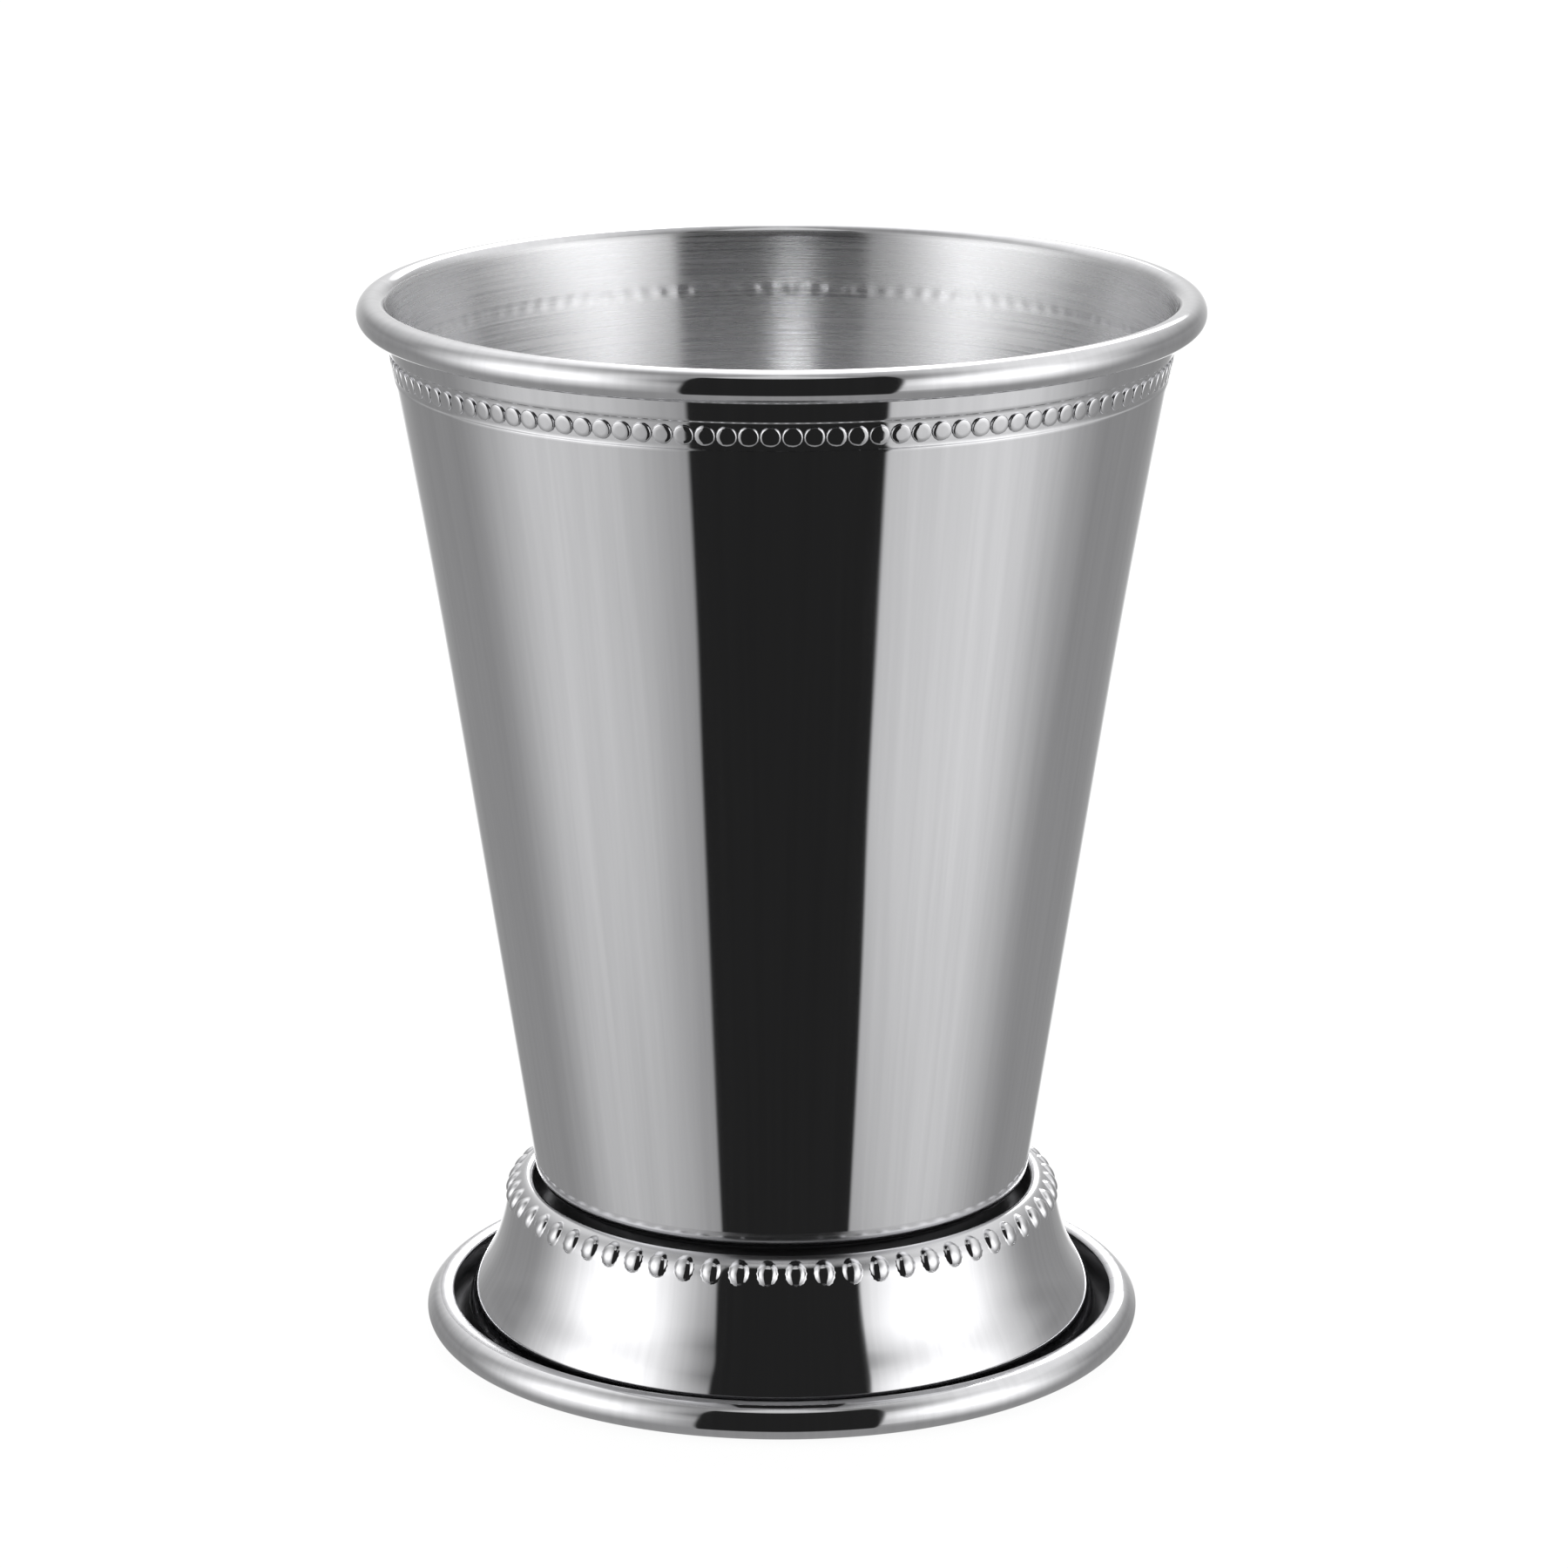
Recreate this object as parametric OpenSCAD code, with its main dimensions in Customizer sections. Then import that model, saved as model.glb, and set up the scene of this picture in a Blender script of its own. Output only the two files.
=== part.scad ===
// Footed julep cup in sheet stainless steel, millimetres, +Z up.
// The origin is on the cup's axis, in the plane that the foot stands on.
// The cup and its foot are one sheet each. Each is drawn as the line that its upper or inner
// face follows from the inside outwards, with the sheet's thickness laid on the other side.

/* [Cup] */
// Height of the whole cup, foot included
cup_h = 114; // [104:1:124]
// Diameter over the rolled rim
rim_d = 89.4; // [84:0.2:96]
// Thickness of the rim's roll
roll_d = 3.4; // [3:0.1:4]
// Diameter of the cup at its rounded bottom edge
cup_base_d = 53.8; // [50:0.2:56]
// Outer radius of the rounded bottom edge
corner_r = 2.4; // [1.6:0.1:3.4]
// Height at which the wall starts to flare towards the mouth
flare_h = 68; // [50:1:90]
// Lean of the wall at the mouth, in degrees
mouth_lean = 10.6; // [9:0.1:12]
// Thickness of the cup's sheet
cup_sheet = 0.7; // [0.5:0.05:0.9]

/* [Beaded band] */
// Number of flat beads round the rim
rim_beads = 118; // [60:1:120]
// Diameter of one flat bead
rim_bead_d = 2.05; // [1.4:0.05:2.1]
// Width of the sunk band that holds the beads
band_w = 3; // [2.6:0.1:4]
// Distance from the rim's top down to the middle of the band
band_drop = 7.05; // [6.4:0.05:12]
// Depth of the band below the wall's face
band_depth = 0.2; // [0.1:0.05:0.3]
// Height of a flat bead above the wall's face
rim_bead_proud = 0.06; // [0.02:0.02:0.3]

/* [Foot] */
// Diameter over the foot's rolled base edge
foot_d = 77.8; // [74:0.2:84]
// Thickness of the base edge's roll
base_roll_d = 3.96; // [3.4:0.02:4.4]
// Width of the flat that the foot stands on
base_w = 1.3; // [0.8:0.1:2]
// Radius of the turn from the skirt into the base
base_turn_r = 1.2; // [0.8:0.1:1.6]
// Width of the collar from the groove to where its shoulder meets the skirt
collar_w = 3; // [2.4:0.1:4.6]
// Height of the shoulder round the cup's bottom edge
shoulder_h = 16.75; // [15.5:0.05:18]
// Radius of the shoulder's rounding, which carries the beads
shoulder_r = 3.2; // [2.4:0.1:3.6]
// Width by which the groove reaches out past the cup's bottom edge
groove_w = 0.1; // [0.1:0.05:0.8]
// Depth of the groove below the shoulder
groove_depth = 4.4; // [3:0.1:5]
// Radius of the groove's rounded bottom
groove_r = 1.45; // [1:0.05:1.6]
// Height of the seat under the cup's floor
seat_h = 16.3; // [15:0.05:17.5]
// Width of the ring that the cup's floor is seated on
seat_w = 5.1; // [4.4:0.1:12]
// Thickness of the foot's sheet
foot_sheet = 0.7; // [0.5:0.05:0.8]

/* [Beaded shoulder] */
// Number of domed beads round the shoulder
foot_beads = 62; // [40:1:64]
// Diameter of the ball that each domed bead shows the cap of
foot_bead_d = 3; // [1.8:0.05:3.2]
// Height of a domed bead above the shoulder
foot_bead_proud = 0.45; // [0.2:0.05:0.6]
// Slope at which the beads face up from the horizontal, in degrees
foot_bead_tilt = 31; // [20:1:40]

/* [Spot welds] */
// Number of welds that hold the foot to the cup
welds = 6; // [3:1:12]
// Diameter of one weld
weld_d = 3.2; // [2.4:0.1:3.6]
// How far a weld reaches into each sheet
weld_bite = 0.3; // [0.15:0.05:0.4]

/* [Hidden] */
round_fn = 128;
bead_fn = 16;

// Rim and wall of the cup, on the inner face
roll_r = roll_d / 2;
roll_at = [rim_d / 2 - roll_r, cup_h - roll_r];
// The curled edge stops at this angle, clear of the wall
roll_end = -124;
floor_h = seat_h + cup_sheet;
inner_corner_r = corner_r - cup_sheet;
corner_at = [cup_base_d / 2 - corner_r, floor_h + inner_corner_r];
mean_lean = atan2(roll_at[0] - roll_r - corner_at[0] - inner_corner_r, roll_at[1] - corner_at[1]);
wall_low = corner_at + [inner_corner_r / cos(mean_lean), 0];
wall_top = roll_at - [roll_r / cos(mouth_lean), 0];
flare_span = wall_top[1] - flare_h;
mouth_slope = tan(mouth_lean);
cone_slope = (wall_top[0] - wall_low[0] - mouth_slope * flare_span / 2)
    / (wall_top[1] - wall_low[1] - flare_span / 2);

// Bead band, between two heights on the wall
band_h = cup_h - band_drop;
band_low = band_h - band_w / 2;
band_high = band_h + band_w / 2;
band_lean = atan(wall_slope(band_h));
// The beads start this far inside the sheet that they stand on
rim_bead_root = cup_sheet / 4;
foot_bead_root = foot_sheet / 2;
// A domed bead covers this angle of the shoulder's rounding to each side of its middle
foot_bead_reach = asin(foot_bead_d / 2 / (shoulder_r - foot_bead_root));

// Base edge of the foot: it curls outwards and up, and stops past its top, clear of the skirt
base_roll_r = base_roll_d / 2;
base_roll_at = [foot_d / 2 - base_roll_r, base_roll_r];
base_roll_end = 118;
base_turn_at = [base_roll_at[0] - base_w, base_turn_r + foot_sheet];

// Shoulder of the foot, folded down into the groove round the cup's bottom edge
fold_r = 0.1;
edge_r = foot_sheet + fold_r;
groove_wall_r = cup_base_d / 2 + groove_w;
edge_turn = acos((shoulder_r + edge_r - collar_w) / (shoulder_r - edge_r));
edge_at = [groove_wall_r + edge_r, shoulder_h - edge_r];
shoulder_at = edge_at - (shoulder_r - edge_r) * turned(edge_turn);
groove_at = [groove_wall_r - groove_r, shoulder_h - groove_depth + groove_r];
groove_bottom = groove_at - [0, groove_r];
seat_end = [corner_at[0] - corner_r, seat_h];
seat_start = seat_end - [seat_w, 0];
flank_handle_shares = [0.4, 0.4];

// Skirt of the foot, with its lean at its top and at the turn into the base
collar_lean = 10;
base_lean = 10;
skirt_start = shoulder_at + shoulder_r * turned(collar_lean);
skirt_end = base_turn_at - base_turn_r * turned(base_lean);
skirt_handle_shares = [0.66, 0.42];

weld_ring_r = seat_end[0] - seat_w / 2;

function turned(angle) = [cos(angle), sin(angle)];
function down(lean) = [sin(lean), -cos(lean)];
function to_right(heading) = [heading[1], -heading[0]];
function unit(v) = v / norm(v);

// A path is a list of [point, heading, sheet thickness], and the sheet lies to its right
function clockwise(centre, r, from, to, steps, sheet) = [
    for (i = [0 : steps])
        let (a = from + (to - from) * i / steps)
        [centre + r * turned(a), [sin(a), -cos(a)], sheet]
];
function counter(centre, r, from, to, steps, sheet) = [
    for (i = [0 : steps])
        let (a = from + (to - from) * i / steps)
        [centre + r * turned(a), [-sin(a), cos(a)], sheet]
];
function curve_point(p, u) = pow(1 - u, 3) * p[0] + 3 * pow(1 - u, 2) * u * p[1]
    + 3 * (1 - u) * u * u * p[2] + pow(u, 3) * p[3];
function curve_heading(p, u) = unit(pow(1 - u, 2) * (p[1] - p[0])
    + 2 * (1 - u) * u * (p[2] - p[1]) + u * u * (p[3] - p[2]));
function swept(start, start_heading, end, end_heading, handle_shares, steps, sheet) =
    let (span = norm(end - start))
    let (p = [start, start + handle_shares[0] * span * start_heading,
              end - handle_shares[1] * span * end_heading, end])
    [for (i = [1 : steps - 1]) [curve_point(p, i / steps), curve_heading(p, i / steps), sheet]];

// Inner face of the wall: a straight cone that flares into the mouth
function flare_reach(h) = max(0, h - flare_h);
function wall_slope(h) = cone_slope + (mouth_slope - cone_slope) * flare_reach(h) / flare_span;
function wall_r(h) = wall_low[0] + cone_slope * (h - wall_low[1])
    + (mouth_slope - cone_slope) * pow(flare_reach(h), 2) / (2 * flare_span);
function wall_point(h, sheet) = [[wall_r(h), h], unit([wall_slope(h), 1]), sheet];

function cup_path() = concat(
    [[[0, floor_h], [1, 0], cup_sheet]],
    counter(corner_at, inner_corner_r, -90, -mean_lean, 6, cup_sheet),
    [for (i = [0 : 6]) wall_point(flare_h + (band_low - flare_h) * i / 6, cup_sheet)],
    [wall_point(band_low, cup_sheet - band_depth)],
    [wall_point(band_high, cup_sheet - band_depth)],
    [wall_point(band_high, cup_sheet)],
    clockwise(roll_at, roll_r, 180 - mouth_lean, roll_end, 24, cup_sheet)
);

function foot_path() = concat(
    [for (p = [seat_start, seat_end]) [p, [1, 0], foot_sheet]],
    swept(seat_end, [1, 0], groove_bottom, [1, 0], flank_handle_shares, 10, foot_sheet),
    counter(groove_at, groove_r, -90, 0, 8, foot_sheet),
    clockwise(edge_at, edge_r, 180, edge_turn, 5, foot_sheet),
    clockwise(shoulder_at, shoulder_r, edge_turn, collar_lean, 6, foot_sheet),
    swept(skirt_start, down(collar_lean), skirt_end, down(base_lean),
          skirt_handle_shares, 12, foot_sheet),
    counter(base_turn_at, base_turn_r, base_lean - 180, -90, 8, foot_sheet),
    counter(base_roll_at, base_roll_r - foot_sheet, -90, base_roll_end, 21, foot_sheet)
);

// Turns a path into the closed outline of its sheet
function outline(path) = concat(
    [for (p = path) p[0]],
    [for (i = [len(path) - 1 : -1 : 0]) path[i][0] + path[i][2] * to_right(path[i][1])]
);

module sheet(path) {
    rotate_extrude($fn = round_fn) polygon(outline(path));
}

module ring_of(count, at) {
    for (i = [0 : count - 1]) rotate([0, 0, 360 * i / count]) translate(at) children();
}

module flat_beads() {
    face = wall_point(band_h, cup_sheet);
    at = face[0] + (cup_sheet - band_depth - rim_bead_root) * to_right(face[1]);
    ring_of(rim_beads, [at[0], 0, at[1]])
        rotate([0, 90 + band_lean, 0])
        cylinder(d = rim_bead_d, h = rim_bead_root + band_depth + rim_bead_proud, $fn = bead_fn);
}

// Sector of the shoulder's rounding from inside the sheet to clear above the beads
module shoulder_skin() {
    low = foot_bead_tilt - foot_bead_reach;
    high = foot_bead_tilt + foot_bead_reach;
    skin = concat(
        clockwise(shoulder_at, shoulder_r - foot_bead_root, high, low, 3, foot_sheet),
        counter(shoulder_at, shoulder_r + foot_bead_d, low, high, 1, foot_sheet)
    );
    rotate_extrude($fn = round_fn) polygon([for (p = skin) p[0]]);
}

// Each domed bead is the cap of a ball
module domed_beads() {
    ball_r = foot_bead_d / 2;
    at = shoulder_at + (shoulder_r + foot_bead_proud - ball_r) * turned(foot_bead_tilt);
    intersection() {
        shoulder_skin();
        ring_of(foot_beads, [at[0], 0, at[1]]) sphere(r = ball_r, $fn = 2 * bead_fn);
    }
}

module weld_nuggets() {
    ring_of(welds, [weld_ring_r, 0, seat_h - weld_bite])
        cylinder(d = weld_d, h = 2 * weld_bite, $fn = round_fn / 4);
}

module cup_body() {
    color([0.78, 0.78, 0.8]) difference() {
        union() {
            sheet(cup_path());
            flat_beads();
        }
        weld_nuggets();
    }
}

module foot() {
    color([0.72, 0.72, 0.74]) difference() {
        union() {
            sheet(foot_path());
            domed_beads();
        }
        weld_nuggets();
    }
}

module spot_welds() {
    color([0.5, 0.5, 0.52]) weld_nuggets();
}

cup_body();
foot();
spot_welds();
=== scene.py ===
"""Polished steel julep cup on its beaded foot: the finish of every surface, and the studio round it.

The cup and the foot are sheets turned about the Z axis. Each is drawn as the section of its
sheet, and a Geometry Nodes tree turns the section round. The beads are rings of one bead each.
Sizes are in millimetres, which MM turns to Blender's metres, and angles are in degrees.
"""

import math

import bmesh
import bpy
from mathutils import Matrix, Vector


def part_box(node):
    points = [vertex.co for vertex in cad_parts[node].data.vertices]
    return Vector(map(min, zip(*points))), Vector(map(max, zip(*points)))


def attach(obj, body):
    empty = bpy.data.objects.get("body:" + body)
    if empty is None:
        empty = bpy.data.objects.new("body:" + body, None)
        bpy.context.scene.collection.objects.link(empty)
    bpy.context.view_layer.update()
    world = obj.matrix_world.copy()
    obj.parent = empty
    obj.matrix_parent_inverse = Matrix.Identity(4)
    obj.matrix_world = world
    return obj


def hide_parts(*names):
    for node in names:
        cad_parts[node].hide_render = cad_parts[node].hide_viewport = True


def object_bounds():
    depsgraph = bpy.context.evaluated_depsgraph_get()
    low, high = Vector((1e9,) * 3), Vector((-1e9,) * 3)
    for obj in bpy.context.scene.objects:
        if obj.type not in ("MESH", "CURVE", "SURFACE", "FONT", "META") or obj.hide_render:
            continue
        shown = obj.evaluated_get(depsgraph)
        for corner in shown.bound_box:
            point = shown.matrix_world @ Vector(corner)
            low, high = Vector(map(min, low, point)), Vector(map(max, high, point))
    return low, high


MM = 0.001

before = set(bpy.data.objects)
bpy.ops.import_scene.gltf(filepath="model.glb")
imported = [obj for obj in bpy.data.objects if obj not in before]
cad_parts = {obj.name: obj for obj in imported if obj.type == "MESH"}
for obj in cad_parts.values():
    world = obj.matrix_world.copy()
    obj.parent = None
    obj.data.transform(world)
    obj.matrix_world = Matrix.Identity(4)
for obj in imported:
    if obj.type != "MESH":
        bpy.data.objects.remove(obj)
cad_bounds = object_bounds()
foot_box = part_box("foot")

# Sizes that the frame gives
CUP_H = cad_bounds[1].z / MM
RIM_R = min(cad_bounds[1].x, cad_bounds[1].y) / MM
FOOT_R = min(foot_box[1].x, foot_box[1].y) / MM

# Thickness of both sheets
SHEET = 0.7

# Cup. The angles on its roll are those at which the brushing and the sheet itself end.
ROLL_R = 1.7
BRUSHING_END = 145
ROLL_END = -124
MOUTH_LEAN = 10.6
FLARE_H = 68
CUP_BASE_R = 26.9
CORNER_R = 2.4
CORNER_SKIM_W = 0.3

# Band of flat beads under the rim
RIM_BEADS = 118
RIM_BEAD_R = 1.07
RIM_BEAD_PROUD = 0.06
RIM_BEAD_ROOT = 0.1
BAND_DROP = 7.05
BAND_W = 3
BAND_DEPTH = 0.2
EDGE_ROUND = 0.08
DENT_R = 1.0
DENT_DEPTH = 0.045
# A flat bead's rounded edge: share of its radius, and how far it has dropped
RIM_BEAD_EDGE = ((0.5, 0), (0.84, 0.01), (0.94, 0.05), (0.99, 0.15))

# Foot, from the seat under the cup outwards: the groove round the cup's bottom edge, the
# shoulder, the skirt, and the base's edge, which curls outwards and up
SEAT_H = 16.3
SEAT_W = 5.1
GROOVE_W = 0.1
GROOVE_DEPTH = 4.4
GROOVE_R = 1.45
FOLD_R = 0.1
SHOULDER_H = 16.75
SHOULDER_R = 3.2
COLLAR_W = 3
COLLAR_LEAN = 10
BASE_LEAN = 10
BASE_TURN_R = 1.2
BASE_W = 1.3
BASE_ROLL_R = 1.98
BASE_ROLL_END = 118
# How far the handles of the two smooth curves reach, as shares of the curves' spans
FLANK_HANDLE_SHARES = (0.4, 0.4)
SKIRT_HANDLE_SHARES = (0.66, 0.42)
# Where the polish starts and ends: on the shoulder, low on the skirt, and on the base's curl.
# Under its polish the skirt has the dark gap finish, painted shade; past its polish the curl's
# top has a darker satin, partly painted shade.
SHOULDER_POLISH_START = 44
SKIRT_POLISH_LOW = 2.6
CURL_POLISH_END = 74

# Oval beads on the foot's shoulder
FOOT_BEADS = 62
FOOT_BEAD_W = 2.15
FOOT_BEAD_L = 2.8
FOOT_BEAD_PROUD = 0.42
FOOT_BEAD_TILT = 31
FOOT_DENT_R = 1.1
FOOT_DENT_DEPTH = 0.25
# An oval bead from its top to its root, as shares of its half width and of its height. It runs
# out in a soft hollow, as pressed sheet does.
FOOT_BEAD_DOME = ((0.12, 1.0), (0.34, 0.96), (0.52, 0.88), (0.67, 0.75), (0.79, 0.56), (0.88, 0.34),
                  (0.95, 0.14), (1.02, 0.03), (1.1, -0.01), (1.18, -0.06), (1.2, -0.5))

# Points of the outlines: how many steps each arc and curve has, and where a straight part has
# its points, as shares of its length
BEND_STEPS = 8
ROLL_STEPS = 24
FLANK_STEPS = 10
FOLD_STEPS = 6
SHOULDER_STEPS = 10
SKIRT_STEPS = 22
FLOOR_SHARES = (0, 0.35, 0.7, 0.9, 0.97)
SEAT_SHARES = (0, 0.5, 0.9, 1)
# The wall has its points in two runs, under the flare and in it, which start this far above the
# corner and the flare's start, and end this far under the band
WALL_STEPS = 5
ABOVE_CORNER = 2
INTO_FLARE = 6
BELOW_BAND = 1
# Points beside the band, on the outer face and on the inner face with its dents
OUTER_BELOW_BAND = 0.3
OUTER_ABOVE_BAND = (0.4, 2)
DENT_MARGIN = 0.2
DENT_STEPS = 14
INNER_ABOVE_BAND = 1.5

# Points round a bead, and columns of a turned sheet to each bead
BEAD_SIDES = 16
COLUMNS_PER_BEAD = 6
# Points nearer to each other than this are one, at a sheet's seam and on its axis
MERGE_REACH = 0.001

# Radius at which the streaks of a finish are measured
STREAK_R = 34
# Most of a noise lies between these values
NOISE_SPAN = (0.3, 0.7)

# Camera: its place, how far it looks down, and its lens
CAMERA_AT = (0.24, -590.9, 221.5)
CAMERA_PITCH = 15.25
CAMERA_LENS = 131.0

# White paper: half its width in metres, the share of its white that no shadow takes away, and
# how bright that share is
FLOOR_REACH = 6
PAPER_GLOW = 0.85
PAPER_LIGHT = 1.09


def linear(code):
    """Linear colour of an sRGB hex code."""
    shares = [int(code[i:i + 2], 16) / 255 for i in (1, 3, 5)]
    return [s / 12.92 if s <= 0.04045 else ((s + 0.055) / 1.055) ** 2.4 for s in shares] + [1]


def add(tree, kind, feeds=None, **settings):
    """Adds a node to a tree, with its settings, and feeds its inputs from sockets or values.

    An input goes by its name, or by its number where a node has several of one name.
    """
    node = tree.nodes.new(kind)
    for name, value in settings.items():
        setattr(node, name, value)
    for key, value in (feeds or {}).items():
        if isinstance(value, bpy.types.NodeSocket):
            tree.links.new(value, node.inputs[key])
        else:
            node.inputs[key].default_value = value
    return node


# Sections of the two sheets. A path is a list of (point, heading, thickness), and the sheet
# lies to its right. Each point of a section has the finish of the strip that starts there:
# the polished face, the sheet's reverse, a gap that the polishing wheel doesn't reach, whose
# dark colour is painted shade, or a corner that it only skims.
FACE, REVERSE, GAP, SKIMMED = 0.0, 1.0, 2.0, 3.0
FINISH_INPUTS = {"Face finish": FACE, "Reverse finish": REVERSE, "Gap finish": GAP,
                 "Skimmed finish": SKIMMED}


def turned(angle):
    """The way that an angle points in."""
    return Vector((math.cos(math.radians(angle)), math.sin(math.radians(angle))))


def down(lean):
    """The way down and outwards, at a lean from the upright."""
    return Vector((math.sin(math.radians(lean)), -math.cos(math.radians(lean))))


def to_right(heading):
    """The way to the right of a heading."""
    return Vector((heading[1], -heading[0]))


def arc(centre, radius, start, end, steps):
    """Points on an arc, clockwise where the end's angle is less than the start's."""
    way = 1 if end > start else -1
    return [(centre + radius * turned(a), way * turned(a + 90), SHEET)
            for a in spread(start, end, steps)]


def swept(start, start_heading, end, end_heading, shares, steps):
    """Points inside a smooth curve between two ends that are left out."""
    span = (end - start).length
    p = [start, start + shares[0] * span * start_heading, end - shares[1] * span * end_heading, end]
    points = []
    for i in range(1, steps):
        u = i / steps
        v = 1 - u
        at = v ** 3 * p[0] + 3 * v * v * u * p[1] + 3 * v * u * u * p[2] + u ** 3 * p[3]
        way = v * v * (p[1] - p[0]) + 2 * v * u * (p[2] - p[1]) + u * u * (p[3] - p[2])
        points.append((at, way.normalized(), SHEET))
    return points


def straight(start, end, shares):
    """Points on a straight line at shares of its length."""
    way = (end - start).normalized()
    return [(start + s * (end - start), way, SHEET) for s in shares]


def spread(start, end, steps):
    """Values in even steps from a start to an end."""
    return [start + (end - start) * i / steps for i in range(steps + 1)]


def outer(step):
    """The point straight through the sheet from a point of a path."""
    return step[0] + step[2] * to_right(step[1])


def along(path, finish):
    """A path's own points, with a finish."""
    return [(step[0], finish) for step in path]


def back_along(path, finish):
    """The points through the sheet from a path's, from its end to its start, with a finish."""
    return [(outer(step), finish) for step in reversed(path)]


FLOOR_H = SEAT_H + SHEET
INNER_CORNER_R = CORNER_R - SHEET
CORNER_AT = Vector((CUP_BASE_R - CORNER_R, FLOOR_H + INNER_CORNER_R))
ROLL_AT = Vector((RIM_R - ROLL_R, CUP_H - ROLL_R))
MEAN_LEAN = math.degrees(math.atan2(
    ROLL_AT.x - ROLL_R - CORNER_AT.x - INNER_CORNER_R, ROLL_AT.y - CORNER_AT.y))
WALL_LOW = CORNER_AT + Vector((INNER_CORNER_R / math.cos(math.radians(MEAN_LEAN)), 0))
WALL_TOP = ROLL_AT - Vector((ROLL_R / math.cos(math.radians(MOUTH_LEAN)), 0))
FLARE_SPAN = WALL_TOP.y - FLARE_H
MOUTH_SLOPE = math.tan(math.radians(MOUTH_LEAN))
CONE_SLOPE = ((WALL_TOP.x - WALL_LOW.x - MOUTH_SLOPE * FLARE_SPAN / 2)
              / (WALL_TOP.y - WALL_LOW.y - FLARE_SPAN / 2))
BAND_H = CUP_H - BAND_DROP


def wall_slope(h):
    """How far the wall goes outwards for each millimetre up."""
    return CONE_SLOPE + (MOUTH_SLOPE - CONE_SLOPE) * max(0, h - FLARE_H) / FLARE_SPAN


def wall_point(h, thickness=SHEET):
    """Point of the wall's inner face: a straight cone that flares into the mouth."""
    r = WALL_LOW.x + CONE_SLOPE * (h - WALL_LOW.y)
    r += (MOUTH_SLOPE - CONE_SLOPE) * max(0, h - FLARE_H) ** 2 / (2 * FLARE_SPAN)
    return Vector((r, h)), Vector((wall_slope(h), 1)).normalized(), thickness


def band_edge(height, inwards):
    """Points at an edge of the sunk band, from the wall into the band, with the edge rounded.

    A step is how far into the band it is, in parts of EDGE_ROUND, and the sheet's thickness.
    """
    sunk = SHEET - BAND_DEPTH
    steps = ((-1, SHEET), (0, SHEET - 0.3 * EDGE_ROUND), (0.5, sunk + 0.4 * EDGE_ROUND),
             (1.5, sunk), (5, sunk))
    return [wall_point(height + inwards * step * EDGE_ROUND, sheet) for step, sheet in steps]


def cup_section():
    """Outline of the cup's sheet, as (point, finish)."""
    low = CORNER_AT.y + CORNER_SKIM_W
    band_low = BAND_H - BAND_W / 2
    band_high = BAND_H + BAND_W / 2
    corner = arc(CORNER_AT, INNER_CORNER_R, -90, -MEAN_LEAN, BEND_STEPS)
    floor = straight(Vector((0, FLOOR_H)), corner[0][0], FLOOR_SHARES)
    brushed_roll = arc(ROLL_AT, ROLL_R, 180 - MOUTH_LEAN, BRUSHING_END, BEND_STEPS)[:-1]
    polished_roll = arc(ROLL_AT, ROLL_R, BRUSHING_END, ROLL_END, ROLL_STEPS)
    plain_heights = [low, *spread(low + ABOVE_CORNER, FLARE_H, WALL_STEPS),
                     *spread(FLARE_H + INTO_FLARE, band_low - BELOW_BAND, WALL_STEPS)]
    plain_wall = [wall_point(h) for h in plain_heights]
    dented_heights = spread(band_low - DENT_MARGIN, band_high + DENT_MARGIN, DENT_STEPS)
    dented_wall = [wall_point(h) for h in [*dented_heights, band_high + INNER_ABOVE_BAND]]
    banded_wall = [wall_point(band_low - OUTER_BELOW_BAND), *band_edge(band_low, 1),
                   *reversed(band_edge(band_high, -1)),
                   *(wall_point(band_high + h) for h in OUTER_ABOVE_BAND)]

    section = along(floor + corner + plain_wall + dented_wall + brushed_roll, REVERSE)
    section += along(polished_roll, FACE)
    # The inside of the roll hardly shows, so it has every second point
    section += back_along((brushed_roll + polished_roll)[::2], FACE)
    section += back_along(plain_wall[1:] + banded_wall, FACE)
    section += back_along(corner[1:] + plain_wall[:1], SKIMMED)
    # The cup's underside, sitting in the foot's seat, has the dark gap finish as painted shade
    return section + back_along(floor + corner[:1], GAP)


# Shoulder of the foot, folded down into the groove round the cup's bottom edge
FOLD_OUTER_R = SHEET + FOLD_R
GROOVE_WALL_R = CUP_BASE_R + GROOVE_W
FOLD_TURN = math.degrees(math.acos(
    (SHOULDER_R + FOLD_OUTER_R - COLLAR_W) / (SHOULDER_R - FOLD_OUTER_R)))
FOLD_AT = Vector((GROOVE_WALL_R + FOLD_OUTER_R, SHOULDER_H - FOLD_OUTER_R))
SHOULDER_AT = FOLD_AT - (SHOULDER_R - FOLD_OUTER_R) * turned(FOLD_TURN)


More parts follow.
